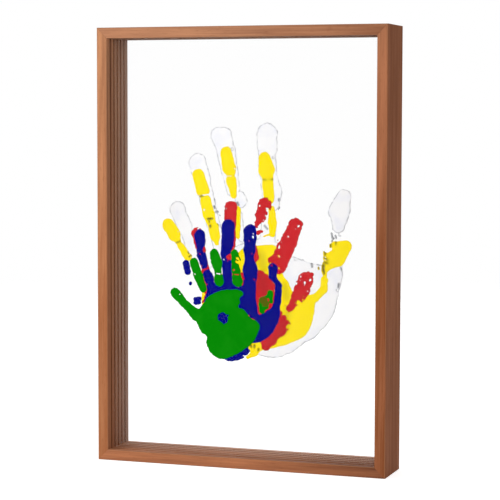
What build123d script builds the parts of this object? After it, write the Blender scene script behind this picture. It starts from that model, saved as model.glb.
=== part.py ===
from build123d import *
import os
from dataclasses import dataclass
from math import atan2, degrees, hypot, sqrt

# See-through wooden frame that holds a row of clear panes, each with one painted handprint.
# Millimetres. +Z is up, the front faces -Y, and the origin is the middle of the underside.

# Frame outside
frame_width = 224.0
frame_height = 325.0
frame_depth = 42.0

# Rail moulding: all four rails are cut from it
rail_thickness = 8.0  # outer face to inner face
edge_radius = 0.8  # softened long edges
groove_depth = 3.5  # each groove takes the edge of one pane
mitre_gap = 0.1  # between the loose top rail and the stiles

# Clear panes
pane_thickness = 2.0
pane_pitch = 6.7  # from one pane to the next
pane_corner_radius = 1.5
pane_face_clearance = 0.2  # on each face of a pane in its groove
pane_side_clearance = 0.5  # at each upright edge of a pane
pane_top_clearance = 1.0  # under the top rail's groove

# Painted handprints
film_thickness = 0.25  # dried paint
joint_flat = 1.5  # straight stretch between the rounded corners of a joint's pad
tip_flat = 0.3  # and of a fingertip's pad

# Hidden keys glued across the bottom mitres
key_thickness = 1.6
key_end_cover = 6.0  # wood left at the front and back face
key_outer_cover = 1.0  # wood left at the outside of the frame
key_groove_cover = 0.5  # wood left below the grooves

# Steel pins that locate the top rail
pin_radius = 1.0
pin_inset = 5.0  # outside of the frame to the pin's axis
pin_set_depth = 12.0  # length pressed into the stile
pin_top_cover = 1.5  # outside of the top rail to the pin's end
pin_end_room = 0.5  # above the pin in its bore
pin_running_clearance = 0.06  # on the radius, in the top rail
pin_chamfer = 0.3

# Disc magnets that hold the top rail down
magnet_radius = 2.0
magnet_thickness = 2.0


@dataclass
class Finger:
    """One finger's print, from its root at the palm to its tip, measured from the pane's middle."""

    root_x: float
    root_y: float
    tip_x: float
    tip_y: float
    tip_width: float  # of the fingertip's pad
    joint_width: float  # of the two pads below it


@dataclass
class Hand:
    """One handprint: the palm's middle from the pane's middle, its size and lean, and the fingers.

    The crease is the bare line at each finger joint. Below zero, the pads run into each other.
    """

    palm_x: float
    palm_y: float
    palm_width: float
    palm_height: float
    lean: float
    crease: float
    little: Finger
    ring: Finger
    middle: Finger
    index: Finger
    thumb: Finger

    def fingers(self):
        """The five fingers, from the little one to the thumb."""
        return self.little, self.ring, self.middle, self.index, self.thumb


# Front pane to back pane, from a baby's hand to a grown-up's
hands = {
    "green": Hand(
        palm_x=-9,
        palm_y=-56,
        palm_width=48,
        palm_height=52,
        lean=0,
        crease=-3.0,
        little=Finger(root_x=-29, root_y=-52, tip_x=-55, tip_y=-31, tip_width=9, joint_width=8.6),
        ring=Finger(root_x=-28.5, root_y=-34, tip_x=-38.5, tip_y=-6.5, tip_width=8.6, joint_width=8),
        middle=Finger(root_x=-16, root_y=-28, tip_x=-21, tip_y=0.5, tip_width=8.4, joint_width=7.2),
        index=Finger(root_x=-2.5, root_y=-27.5, tip_x=-4, tip_y=0.5, tip_width=7.8, joint_width=8),
        thumb=Finger(root_x=12, root_y=-48, tip_x=23.5, tip_y=-28.5, tip_width=9, joint_width=7.5),
    ),
    "blue": Hand(
        palm_x=-4,
        palm_y=-54,
        palm_width=56,
        palm_height=57,
        lean=-6,
        crease=-2.5,
        little=Finger(root_x=-35, root_y=-43, tip_x=-45.5, tip_y=-8.5, tip_width=7.5, joint_width=6),
        ring=Finger(root_x=-24, root_y=-35, tip_x=-35.5, tip_y=14, tip_width=10, joint_width=7.8),
        middle=Finger(root_x=-12, root_y=-34, tip_x=-12, tip_y=21, tip_width=11, joint_width=8),
        index=Finger(root_x=4, root_y=-42, tip_x=5, tip_y=18, tip_width=10.4, joint_width=10),
        thumb=Finger(root_x=28, root_y=-46, tip_x=22, tip_y=-10.5, tip_width=7.6, joint_width=6),
    ),
    "red": Hand(
        palm_x=5,
        palm_y=-45,
        palm_width=58,
        palm_height=60,
        lean=-8,
        crease=-4.5,
        little=Finger(root_x=-25, root_y=-22, tip_x=-42, tip_y=15, tip_width=10, joint_width=9),
        ring=Finger(root_x=-10, root_y=-14, tip_x=-12.5, tip_y=35, tip_width=11, joint_width=9.5),
        middle=Finger(root_x=2, root_y=-20, tip_x=14, tip_y=38, tip_width=10, joint_width=9),
        index=Finger(root_x=21, root_y=-21, tip_x=39, tip_y=24, tip_width=12.4, joint_width=12),
        thumb=Finger(root_x=31, root_y=-47, tip_x=48.5, tip_y=-15.5, tip_width=13, joint_width=9.5),
    ),
    "yellow": Hand(
        palm_x=8,
        palm_y=-38,
        palm_width=88,
        palm_height=84,
        lean=8,
        crease=0.7,
        little=Finger(root_x=-38, root_y=-27, tip_x=-68.5, tip_y=20.5, tip_width=12.4, joint_width=7.4),
        ring=Finger(root_x=-24.5, root_y=0.5, tip_x=-41.5, tip_y=59.5, tip_width=11.8, joint_width=9.4),
        middle=Finger(root_x=-7, root_y=17, tip_x=-20, tip_y=75.5, tip_width=12, joint_width=8.6),
        index=Finger(root_x=18.5, root_y=9, tip_x=12, tip_y=71.5, tip_width=12, joint_width=9),
        thumb=Finger(root_x=47, root_y=-44, tip_x=76, tip_y=8.5, tip_width=14.4, joint_width=7.4),
    ),
    "white": Hand(
        palm_x=14,
        palm_y=-38,
        palm_width=102,
        palm_height=88,
        lean=8,
        crease=-1.5,
        little=Finger(root_x=-38, root_y=-22, tip_x=-62, tip_y=35, tip_width=15.6, joint_width=15),
        ring=Finger(root_x=-19, root_y=-5, tip_x=-47, tip_y=71, tip_width=16.2, joint_width=13.4),
        middle=Finger(root_x=-2, root_y=3, tip_x=-26, tip_y=90, tip_width=17.4, joint_width=14.6),
        index=Finger(root_x=17, root_y=2, tip_x=12, tip_y=92, tip_width=17, joint_width=15.4),
        thumb=Finger(root_x=55, root_y=-42, tip_x=69, tip_y=45, tip_width=16.4, joint_width=16),
    ),
}
finger_joints = (0.34, 0.62)  # the two inner joints, as shares of a finger's length

# A palm print is four pads round a bare hollow.
# Each has its middle and radii, as shares of the palm's half width and half height.
palm_pads = {
    "knuckles": ((-0.24, 0.44), (0.76, 0.56)),
    "little finger's side": ((-0.50, 0.00), (0.50, 0.50)),
    "ball of the thumb": ((0.40, -0.12), (0.61, 0.60)),
    "heel": ((0.00, -0.43), (0.70, 0.57)),
}
palm_hollow = ((-0.19, 0.17), (0.18, 0.18))

# Places that follow from the sizes above
web_thickness = rail_thickness - groove_depth
groove_width = pane_thickness + 2 * pane_face_clearance
pane_places = [(i - (len(hands) - 1) / 2) * pane_pitch for i in range(len(hands))]
pane_width = frame_width - 2 * (web_thickness + pane_side_clearance)
pane_height = frame_height - 2 * web_thickness - pane_top_clearance
pane_middle = web_thickness + pane_height / 2
outer_lip = frame_depth / 2 - pane_places[-1] - groove_width / 2
magnet_places = [side * (frame_depth - outer_lip) / 2 for side in (-1, 1)]
pin_places = [(pane_places[0] + pane_places[1]) / 2, (pane_places[-2] + pane_places[-1]) / 2]


def rail(length, shortening=0.0):
    """A mitred rail along X: outer face on z = 0, grooves in its upper, inner face.

    The mitre planes stand back by the shortening, square to themselves.
    """
    section = Rectangle(frame_depth, rail_thickness, align=(Align.CENTER, Align.MIN))
    section = fillet(section.vertices(), edge_radius)
    for place in pane_places:
        groove = Rectangle(groove_width, groove_depth, align=(Align.CENTER, Align.MAX))
        section -= Pos(place, rail_thickness) * groove
    bar = extrude(Plane.YZ * section, length / 2, both=True)
    for side in (-1, 1):
        mitre = Plane(origin=(side * length / 2, 0, 0), z_dir=(side, 0, 1)).offset(-shortening)
        bar = split(bar, bisect_by=mitre, keep=Keep.BOTTOM)
    return bar


def mitre_key(side):
    """A thin hardwood key across one bottom mitre, clear of the grooves and of the frame's outside."""
    middle = web_thickness - key_groove_cover - key_thickness / (2 * sqrt(2))
    half_width = sqrt(2) * (middle - key_outer_cover) - key_thickness / 2
    plane = Plane(
        origin=(side * (frame_width / 2 - middle), 0, middle), x_dir=(0, 1, 0), z_dir=(-side, 0, 1)
    )
    key_length = frame_depth - 2 * key_end_cover
    return plane * Box(key_length, 2 * half_width, key_thickness)


def upright_rods(side, radius, top):
    """A round rod at each pin's place in one top corner, from the pin's foot up to this height."""
    foot = frame_height - pin_inset - pin_set_depth
    rods = Part()
    for place in pin_places:
        rod = Cylinder(radius, top - foot, align=(Align.CENTER, Align.CENTER, Align.MIN))
        rods += Pos(side * (frame_width / 2 - pin_inset), place, foot) * rod
    return rods


def locating_pins(side):
    """The pins of one top corner, with chamfered ends."""
    pins = upright_rods(side, pin_radius, frame_height - pin_top_cover)
    return chamfer(pins.edges().group_by(Axis.Z)[-1], pin_chamfer)


def pin_bores(side):
    """The bores that the pins of one corner run in, to be cut from the top rail."""
    top = frame_height - pin_top_cover + pin_end_room
    return upright_rods(side, pin_radius + pin_running_clearance, top)


def mitre_magnets(side, into_top_rail):
    """The discs set flush in one top mitre face, of the stile or of the top rail."""
    way = (-side, 0, 1) if into_top_rail else (side, 0, -1)
    stand_off = mitre_gap if into_top_rail else 0.0
    magnets = Part()
    for place in magnet_places:
        middle = (side * (frame_width - rail_thickness) / 2, place, frame_height - rail_thickness / 2)
        face = Plane(origin=middle, x_dir=(0, 1, 0), z_dir=way).offset(stand_off)
        disc = Cylinder(magnet_radius, magnet_thickness, align=(Align.CENTER, Align.CENTER, Align.MIN))
        magnets += face * disc
    return magnets


def pane(place):
    """One clear pane, standing on the floor of its groove in the bottom rail."""
    outline = RectangleRounded(pane_width, pane_height, pane_corner_radius)
    plane = Plane(origin=(0, place, pane_middle), x_dir=(1, 0, 0), z_dir=(0, -1, 0))
    return extrude(plane * outline, pane_thickness / 2, both=True)


def finger_print(finger, crease):
    """The three pads of one finger, which its joints part by the crease."""
    run_x = finger.tip_x - finger.root_x
    run_y = finger.tip_y - finger.root_y
    length = hypot(run_x, run_y)
    first, second = (share * length for share in finger_joints)
    pads = (
        (0, first - crease / 2, finger.joint_width, joint_flat),
        (first + crease / 2, second - crease / 2, finger.joint_width, joint_flat),
        (second + crease / 2, length, finger.tip_width, tip_flat),
    )
    print_of_finger = Sketch()
    for start, end, width, flat in pads:
        radius = (min(end - start, width) - flat) / 2
        print_of_finger += Pos((start + end) / 2, 0) * RectangleRounded(end - start, width, radius)
    turn = degrees(atan2(run_y, run_x))
    return Pos(finger.root_x, finger.root_y) * Rot(0, 0, turn) * print_of_finger


def palm_pad(hand, place, radii):
    """One oval of a palm, from its shares of the palm's half width and half height."""
    half_width, half_height = hand.palm_width / 2, hand.palm_height / 2
    oval = Ellipse(radii[0] * half_width, radii[1] * half_height)
    return Pos(place[0] * half_width, place[1] * half_height) * oval


def palm_print(hand):
    """The pads of a palm, with the bare hollow between them."""
    print_of_palm = Sketch()
    for place, radii in palm_pads.values():
        print_of_palm += palm_pad(hand, place, radii)
    print_of_palm -= palm_pad(hand, *palm_hollow)
    return Pos(hand.palm_x, hand.palm_y) * Rot(0, 0, hand.lean) * print_of_palm


def handprint(hand, place):
    """The dried paint of one hand on the front face of the pane at this place."""
    outline = palm_print(hand)
    for finger in hand.fingers():
        outline += finger_print(finger, hand.crease)
    face = Plane(
        origin=(0, place - pane_thickness / 2, pane_middle), x_dir=(1, 0, 0), z_dir=(0, -1, 0)
    )
    return extrude(face * outline, film_thickness)


# Small fittings first, because the rails are cut to take them
nodes = {}
for name, side in (("left", -1), ("right", 1)):
    nodes[f"mitre_key_{name}"] = mitre_key(side)
    nodes[f"locating_pins_{name}"] = locating_pins(side)
    nodes[f"stile_magnets_{name}"] = mitre_magnets(side, into_top_rail=False)
    nodes[f"top_rail_magnets_{name}"] = mitre_magnets(side, into_top_rail=True)

# Rails
nodes["bottom_rail"] = rail(frame_width) - nodes["mitre_key_left"] - nodes["mitre_key_right"]
for name, side in (("left", -1), ("right", 1)):
    stile = Pos(side * frame_width / 2, 0, frame_height / 2) * Rot(0, -90 * side, 0) * rail(frame_height)
    for fitting in ("mitre_key", "locating_pins", "stile_magnets"):
        stile -= nodes[f"{fitting}_{name}"]
    nodes[f"{name}_stile"] = stile
top_rail = Pos(0, 0, frame_height) * Rot(0, 180, 0) * rail(frame_width, mitre_gap)
for name, side in (("left", -1), ("right", 1)):
    top_rail -= pin_bores(side)
    top_rail -= nodes[f"top_rail_magnets_{name}"]
nodes["top_rail"] = top_rail

# Panes and their handprints
for number, (colour, hand) in enumerate(hands.items(), start=1):
    place = pane_places[number - 1]
    nodes[f"pane_{number}"] = pane(place)
    nodes[f"handprint_{number}_{colour}"] = handprint(hand, place)

os.makedirs("parts", exist_ok=True)
for name, shape in nodes.items():
    export_step(shape, f"parts/{name}.step")
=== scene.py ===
"""Looks of a see-through handprint frame: stained rails, clear panes and a painted hand on each pane."""

import logging
import math
from dataclasses import dataclass
from enum import Enum

import bpy
import numpy as np
from bpy.types import Material, Node, NodeSocket, NodeTree
from mathutils import Matrix, Vector


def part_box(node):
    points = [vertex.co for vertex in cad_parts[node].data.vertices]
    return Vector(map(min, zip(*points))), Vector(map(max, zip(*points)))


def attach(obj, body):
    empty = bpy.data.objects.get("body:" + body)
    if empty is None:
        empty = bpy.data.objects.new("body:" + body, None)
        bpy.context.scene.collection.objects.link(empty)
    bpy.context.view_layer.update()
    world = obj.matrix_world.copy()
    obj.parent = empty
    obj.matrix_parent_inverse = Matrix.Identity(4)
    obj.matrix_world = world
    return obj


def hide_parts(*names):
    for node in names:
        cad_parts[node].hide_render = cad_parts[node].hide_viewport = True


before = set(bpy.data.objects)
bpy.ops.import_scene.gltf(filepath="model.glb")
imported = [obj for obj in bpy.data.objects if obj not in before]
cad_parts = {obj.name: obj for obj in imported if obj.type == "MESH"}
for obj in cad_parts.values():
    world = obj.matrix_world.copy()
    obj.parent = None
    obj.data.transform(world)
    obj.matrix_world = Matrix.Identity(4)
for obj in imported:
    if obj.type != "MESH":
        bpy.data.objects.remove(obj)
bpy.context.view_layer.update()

log = logging.getLogger("handprint_frame")

# One millimetre, in metres
MM = 0.001
# Heights of the frame's middle and of the panes' middles, in mm
FRAME_MIDDLE = 162.5
PANE_MIDDLE = 162.0
# White as a shader takes it
WHITE = (1.0, 1.0, 1.0, 1.0)

# Width and length of a streak in a pattern, in mm
Streak = tuple[float, float]
# A place on a pane, x and z in mm from its middle
Place = tuple[float, float]
# A round dab on a pane: x and z of its place and its full width, in mm
Dab = tuple[float, float, float]


def srgb(code: str) -> tuple[float, float, float, float]:
    """Turns an sRGB hex colour into the linear colour that a shader takes.

    Args:
        code: Six hex digits, red first.

    Returns:
        Linear red, green and blue, and an alpha of 1.
    """
    parts = [int(code[k : k + 2], 16) / 255 for k in (0, 2, 4)]
    linear = [p / 12.92 if p <= 0.04045 else ((p + 0.055) / 1.055) ** 2.4 for p in parts]
    return (linear[0], linear[1], linear[2], 1.0)


def add(tree: NodeTree, kind: str, values: dict | None = None, **settings: object) -> Node:
    """Adds one node with its settings and its links.

    A Map Range has the ends of its first range at places 1 and 2, and of its second at 3 and 4. A Mix has
    its share at place 0, and what it mixes at 2 and 3 for numbers or at 6 and 7 for colours.

    Args:
        tree: The node tree that gets the node.
        kind: Blender's name for the node's type, without the ShaderNode at its start.
        values: Input names or places, each with a plain value, with the socket that feeds it, or with a
            node, whose first output in use feeds it.
        **settings: Properties of the node itself.

    Returns:
        The new node.
    """
    node = tree.nodes.new("ShaderNode" + kind)
    for name, setting in settings.items():
        setattr(node, name, setting)
    for place, value in (values or {}).items():
        if isinstance(value, Node):
            value = next(socket for socket in value.outputs if socket.enabled)
        if isinstance(value, NodeSocket):
            tree.links.new(value, node.inputs[place])
        else:
            node.inputs[place].default_value = value
    return node


def new_material(name: str) -> tuple[Material, NodeTree]:
    """Makes an empty node material.

    Args:
        name: The material's name.

    Returns:
        The material and its node tree.
    """
    material = bpy.data.materials.new(name)
    material.use_nodes = True
    material.node_tree.nodes.clear()
    return material, material.node_tree


def dress(node: str, material: Material) -> None:
    """Gives a carried-over solid its finish.

    Args:
        node: The solid's name.
        material: The finish for all of its faces.
    """
    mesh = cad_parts[node].data
    if not mesh.materials:
        mesh.materials.append(material)
    for slot in range(len(mesh.materials)):
        mesh.materials[slot] = material
    log.info("%s wears %s", node, material.name)


class Grain(Enum):
    """Which way the fibres of a piece of wood run."""

    UPRIGHT = "z"
    LEVEL = "x"

    def stretch(self, width: float, length: float) -> tuple[float, float, float]:
        """Pattern cells per metre along x, y and z for streaks of this width and length in mm."""
        across, along = 1 / (width * MM), 1 / (length * MM)
        return (across, across, along) if self is Grain.UPRIGHT else (along, across, across)


@dataclass(frozen=True)
class StainedBeech:
    """Planed beech, wiped with a red-brown stain and rubbed with satin wax.

    The eye gets straight fine fibres, slow bands of lighter and darker stain, short dark flecks and paler
    arrises. Painted shade darkens the grooves and each rail towards its foot or right end, and a painted
    sheen lightens the inner faces towards the back.

    Attributes:
        name: The material's name.
        grain: Which way the fibres run.
        light: Stain on the hard fibres.
        dark: Stain on the soft fibres, which drink more of it.
        shaded_end: Painted shade at the foot of a stile or the right end of a rail, where the light falls
            off.
        sheen: How strongly the wax shines, where 0.5 is a full varnish.
        groove_shade: How much painted shade darkens the grooves, from 0 to 1.
        back_sheen: Colour of a painted sheen on the inner faces, which lightens them more towards the back.
        shift: How far each pattern is moved, in its own cells, so that no two rails match.
        flecked: Stain on the ray flecks.
        pale_edge: Colour of the paler arrises and sawn mitres.
        groove_shade_colour: Colour of the painted shade in the grooves.
        shade_falloff: Share of painted shade at the foot of a stile or the right end of a rail.
        outer_shade: Share of painted shade all along the outer faces.
        fibre: A fibre streak. Real ones are 0.2 mm wide, too fine to show, so these are coarser.
        band: A growth band.
        fleck: A ray fleck. Real ones are 0.3 mm wide, and these are coarser too.
        shade_reach: How far from a wall the painted shade reaches, in mm.
        pore: Depth of the open pores under the wax, in mm.
    """

    name: str
    grain: Grain
    light: str
    dark: str
    shaded_end: str
    sheen: float
    groove_shade: float
    back_sheen: str
    shift: tuple[float, float, float]
    flecked: str = "5c2c13"
    pale_edge: str = "c79872"
    groove_shade_colour: str = "2e150a"
    shade_falloff: float = 0.75
    outer_shade: float = 0.5
    fibre: Streak = (1.1, 48.0)
    band: Streak = (5.5, 110.0)
    fleck: Streak = (0.7, 6.0)
    shade_reach: float = 5.0
    pore: float = 0.05

    def material(self) -> Material:
        """Builds the finish.

        Returns:
            The new material.
        """
        material, tree = new_material(self.name)
        place = add(tree, "TexCoord")
        at = place.outputs["Object"]
        normal = place.outputs["Normal"]
        patterns = []
        for streak, detail in ((self.fibre, 4.0), (self.band, 2.0), (self.fleck, 1.0)):
            scale = self.grain.stretch(*streak)
            spread = add(tree, "Mapping", {"Vector": at, "Location": self.shift, "Scale": scale})
            even = {"Scale": 1.0, "Roughness": 0.6, "Distortion": 0.25}
            patterns.append(add(tree, "TexNoise", {"Vector": spread, "Detail": detail, **even}))
        fibre, band, fleck = patterns
        fine = add(tree, "MapRange", {"Value": fibre, 1: 0.32, 2: 0.68}, interpolation_type="SMOOTHSTEP")
        slow = add(tree, "MapRange", {"Value": band, 1: 0.35, 2: 0.65})
        both = add(tree, "Math", {0: fine, 1: 0.55, 2: slow}, operation="MULTIPLY_ADD")
        soft = add(tree, "MapRange", {"Value": both, 1: 0.1, 2: 1.45})
        # Painted shade where the light falls off: down a stile from 320 to 120 mm, and along a rail from
        # its middle to 110 mm.
        where = add(tree, "SeparateXYZ", {0: at}).outputs
        axis, start, end = (2, 320 * MM, 120 * MM) if self.grain is Grain.UPRIGHT else (0, 0.0, 110 * MM)
        shade_falloff = add(tree, "MapRange", {"Value": where[axis], 1: start, 2: end, 3: 0.0, 4: self.shade_falloff})
        # How far out from the frame's middle a face looks: over 100 mm outside, and under -100 mm inside.
        apart = add(tree, "VectorMath", {0: at, 1: (0.0, 0.0, FRAME_MIDDLE * MM)}, operation="SUBTRACT")
        faced = add(tree, "VectorMath", {0: apart, 1: normal}, operation="DOT_PRODUCT")
        outer = add(tree, "MapRange", {"Value": faced, 1: 60 * MM, 2: 90 * MM})
        inner = add(tree, "MapRange", {"Value": faced, 1: -60 * MM, 2: -90 * MM})
        # The outer faces take an even share of the painted shade from end to end, and soft fibres take more
        # of it.
        falloff_share = add(tree, "Mix", {0: outer, 2: shade_falloff, 3: self.outer_shade}, data_type="FLOAT")
        thirst = add(tree, "MapRange", {"Value": soft, 3: 0.75, 4: 1.25})
        painted_falloff = add(tree, "Math", {0: falloff_share, 1: thirst}, operation="MULTIPLY", use_clamp=True)
        # Short ray flecks, a little darker than the fibres round them.
        ray = add(tree, "MapRange", {"Value": fleck, 1: 0.60, 2: 0.72, 3: 0.0, 4: 0.22})
        # Rounded arrises and sawn mitres are the faces that look along no axis, and they are drawn paler.
        square = add(tree, "VectorMath", {0: normal}, operation="ABSOLUTE")
        parts = add(tree, "SeparateXYZ", {0: square}).outputs
        side = add(tree, "Math", {0: parts[0], 1: parts[1]}, operation="MAXIMUM")
        squarest = add(tree, "Math", {0: side, 1: parts[2]}, operation="MAXIMUM")
        arris = add(tree, "MapRange", {"Value": squarest, 1: 0.985, 2: 0.8, 3: 0.0, 4: 0.42})
        pale_edge_share = add(tree, "Math", {0: arris, 1: slow}, operation="MULTIPLY")
        # Painted shade: the grooves and corners are darkened where the rail's own faces close them in.
        corner = add(tree, "AmbientOcclusion", {"Distance": self.shade_reach * MM}, only_local=True, samples=16)
        open_sky = corner.outputs["AO"]
        painted_groove_shade = add(tree, "MapRange", {"Value": open_sky, 1: 0.45, 2: 0.88, 3: self.groove_shade, 4: 0.0})
        # Painted sheen: the inner faces are lighter towards the back.
        far = add(tree, "MapRange", {"Value": where[1], 1: -14 * MM, 2: 18 * MM, 3: 0.1, 4: 0.9})
        painted_back_sheen = add(tree, "Math", {0: inner, 1: far}, operation="MULTIPLY")
        colour = srgb(self.light)
        for share, tint in (
            (soft, self.dark),
            (painted_falloff, self.shaded_end),
            (ray, self.flecked),
            (pale_edge_share, self.pale_edge),
            (painted_groove_shade, self.groove_shade_colour),
            (painted_back_sheen, self.back_sheen),
        ):
            colour = add(tree, "Mix", {0: share, 6: colour, 7: srgb(tint)}, data_type="RGBA")
        gloss = add(tree, "MapRange", {"Value": fibre, 1: 0.3, 2: 0.7, 3: 0.52, 4: 0.66})
        relief = add(tree, "Math", {0: ray, 1: -1.0, 2: fibre}, operation="MULTIPLY_ADD")
        bump = add(tree, "Bump", {"Height": relief, "Strength": 0.5, "Distance": self.pore * MM})
        wax = {"Roughness": gloss, "IOR": 1.5, "Specular IOR Level": self.sheen}
        shader = add(tree, "BsdfPrincipled", {"Base Color": colour, "Normal": bump, **wax})
        add(tree, "OutputMaterial", {"Surface": shader})
        return material


@dataclass(frozen=True)
class RawBeech:
    """Beech straight from the saw: pale, dull and dry, with short darker streaks.

    Attributes:
        name: The material's name.
        light: Colour of the hard fibres.
        dark: Colour of the soft fibres.
        fibre: A fibre streak.
    """

    name: str = "sawn beech, raw"
    light: str = "d9b48a"
    dark: str = "b98c5e"
    fibre: Streak = (0.7, 9.0)

    def material(self) -> Material:
        """Builds the finish.

        Returns:
            The new material.
        """
        material, tree = new_material(self.name)
        at = add(tree, "TexCoord").outputs["Object"]
        spread = add(tree, "Mapping", {"Vector": at, "Scale": Grain.LEVEL.stretch(*self.fibre)})
        fibre = add(tree, "TexNoise", {"Vector": spread, "Scale": 1.0, "Detail": 3.0})
        share = add(tree, "MapRange", {"Value": fibre, 1: 0.35, 2: 0.7})
        colour = add(tree, "Mix", {0: share, 6: srgb(self.light), 7: srgb(self.dark)}, data_type="RGBA")
        gloss = add(tree, "MapRange", {"Value": fibre, 3: 0.65, 4: 0.85})
        # Torn fibres about 0.08 mm deep.
        bump = add(tree, "Bump", {"Height": fibre, "Strength": 0.5, "Distance": 0.08 * MM})
        surface = {"Base Color": colour, "Roughness": gloss, "Normal": bump, "Specular IOR Level": 0.3}
        shader = add(tree, "BsdfPrincipled", surface)
        add(tree, "OutputMaterial", {"Surface": shader})
        return material


@dataclass(frozen=True)
class Metal:
    """A small bright metal fitting with the marks of its making.

    Attributes:
        name: The material's name.
        colour: Colour of the bare metal.
        stain: Colour where fingers have dulled it.
        roughness: How rough the clean metal is.
        mark_width: Spacing of the tool marks in mm, drawn coarser than the real 0.05 mm so that they show.
        turned: True for rings left by a lathe, and False for the even bloom of plating.
        smear: Size of a dulled patch in mm.
    """

    name: str
    colour: str
    stain: str
    roughness: float
    mark_width: float
    turned: bool
    smear: float = 2.0

    def material(self) -> Material:
        """Builds the finish.

        Returns:
            The new material.
        """
        material, tree = new_material(self.name)
        at = add(tree, "TexCoord").outputs["Object"]
        cells = 1 / (self.mark_width * MM)
        scale = (0.0, 0.0, cells) if self.turned else (cells, cells, cells)
        spread = add(tree, "Mapping", {"Vector": at, "Scale": scale})
        marks = add(tree, "TexNoise", {"Vector": spread, "Scale": 1.0, "Detail": 2.0})
        smear = add(tree, "TexNoise", {"Vector": at, "Scale": 1 / (self.smear * MM)})
        darkening = add(tree, "MapRange", {"Value": smear, 1: 0.4, 2: 0.7})
        colour = add(tree, "Mix", {0: darkening, 6: srgb(self.colour), 7: srgb(self.stain)}, data_type="RGBA")
        least, most = 0.8 * self.roughness, 1.3 * self.roughness
        gloss = add(tree, "MapRange", {"Value": marks, 1: 0.3, 2: 0.7, 3: least, 4: most})
        # Tool marks about 0.01 mm deep.
        bump = add(tree, "Bump", {"Height": marks, "Strength": 0.3, "Distance": 0.01 * MM})
        surface = {"Base Color": colour, "Roughness": gloss, "Normal": bump, "Metallic": 1.0}
        shader = add(tree, "BsdfPrincipled", surface)
        add(tree, "OutputMaterial", {"Surface": shader})
        return material


@dataclass(frozen=True)
class CastAcrylic:
    """Clear cast acrylic sheet with polished faces, coated against glare, and saw-cut edges.

    The eye sees through the faces almost untouched, and finds the sheet by its frosted edges, a thin veil
    of reflected light and faint smears from wiping.

    Attributes:
        name: The material's name.
        edge: Tint of the edges.
        edge_roughness: How rough the edges are.
        index: Index of refraction. Acrylic has 1.49. Five plain sheets of that would veil and shift what is
            behind them, and coated ones do so far less, so it is lower here.
        smear: A wiping smear.
        lean: How far the smears lean, in degrees.
    """

    name: str = "cast acrylic, polished"
    edge: str = "6a9a9c"
    edge_roughness: float = 0.28
    index: float = 1.12
    smear: Streak = (14.0, 70.0)
    lean: float = 35.0

    def material(self) -> Material:
        """Builds the finish.

        Returns:
            The new material.
        """
        material, tree = new_material(self.name)
        place = add(tree, "TexCoord")
        square = add(tree, "VectorMath", {0: place.outputs["Normal"]}, operation="ABSOLUTE")
        parts = add(tree, "SeparateXYZ", {0: square}).outputs
        # The polished faces look along y.
        face = add(tree, "MapRange", {"Value": parts[1], 1: 0.80, 2: 0.98})
        tilt = (0.0, math.radians(self.lean), 0.0)
        scale = (1 / (self.smear[1] * MM), 1.0, 1 / (self.smear[0] * MM))
        spread = add(tree, "Mapping", {"Vector": place.outputs["Object"], "Rotation": tilt, "Scale": scale})
        wipe = add(tree, "TexNoise", {"Vector": spread, "Scale": 1.0, "Detail": 3.0})
        smear = add(tree, "MapRange", {"Value": wipe, 1: 0.45, 2: 0.75, 3: 0.0, 4: 0.03})
        gloss = add(tree, "Mix", {0: face, 2: self.edge_roughness, 3: smear}, data_type="FLOAT")
        colour = add(tree, "Mix", {0: face, 6: srgb(self.edge), 7: WHITE}, data_type="RGBA")
        surface = {"Base Color": colour, "Roughness": gloss, "IOR": self.index, "Transmission Weight": 1.0}
        shader = add(tree, "BsdfPrincipled", surface)
        add(tree, "OutputMaterial", {"Surface": shader})
        return material


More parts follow.
